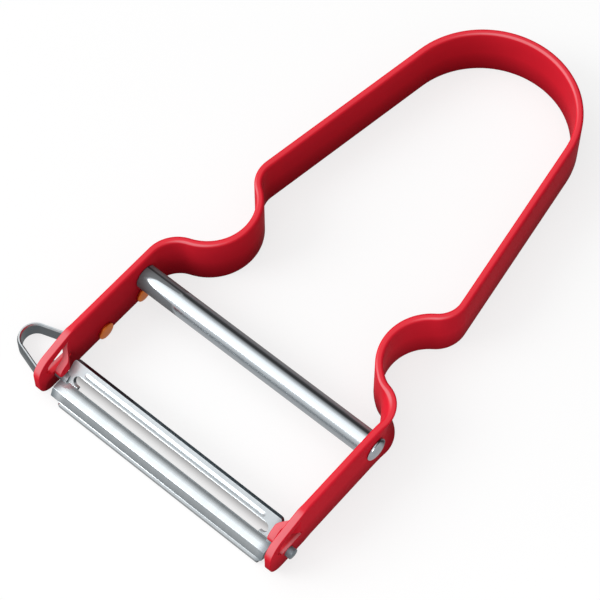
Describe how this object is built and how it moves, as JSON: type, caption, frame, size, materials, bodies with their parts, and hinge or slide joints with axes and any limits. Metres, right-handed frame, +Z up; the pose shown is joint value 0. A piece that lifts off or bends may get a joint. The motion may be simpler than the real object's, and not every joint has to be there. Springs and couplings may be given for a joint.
{
  "type": "vegetable peeler",
  "caption": "Hand peeler with a bent metal strip handle, a swinging slotted blade between the arms, a cross bar and a side loop for eyes.",
  "frame": {"origin": "under the middle of the handle's end, on the strip's lower edge, half way through the strip", "axes": "+X across the peeler towards the arm without the loop, +Y from the blade towards the handle's end, +Z up from the strip's lower edge"},
  "size_m": [0.0642, 0.1088, 0.011],
  "materials": {
    "red_coat": "red anodised, satin",
    "blade_steel": "polished",
    "bar_steel": "polished",
    "loop_steel": "satin",
    "rivet_copper": "satin"
  },
  "bodies": {
    "frame": {"handle_strip": "red_coat", "cross_bar": "bar_steel", "eye_loop": "loop_steel", "eye_rivet_front": "rivet_copper", "eye_rivet_back": "rivet_copper"},
    "blade": {"blade": "blade_steel"}
  },
  "joints": [
    {"name": "blade_swing", "type": "hinge", "parent": "frame", "child": "blade", "pos_m": [0, -0.10345, 0.00305], "axis": [1, 0, 0], "range_deg": [-50, 6]}
  ]
}
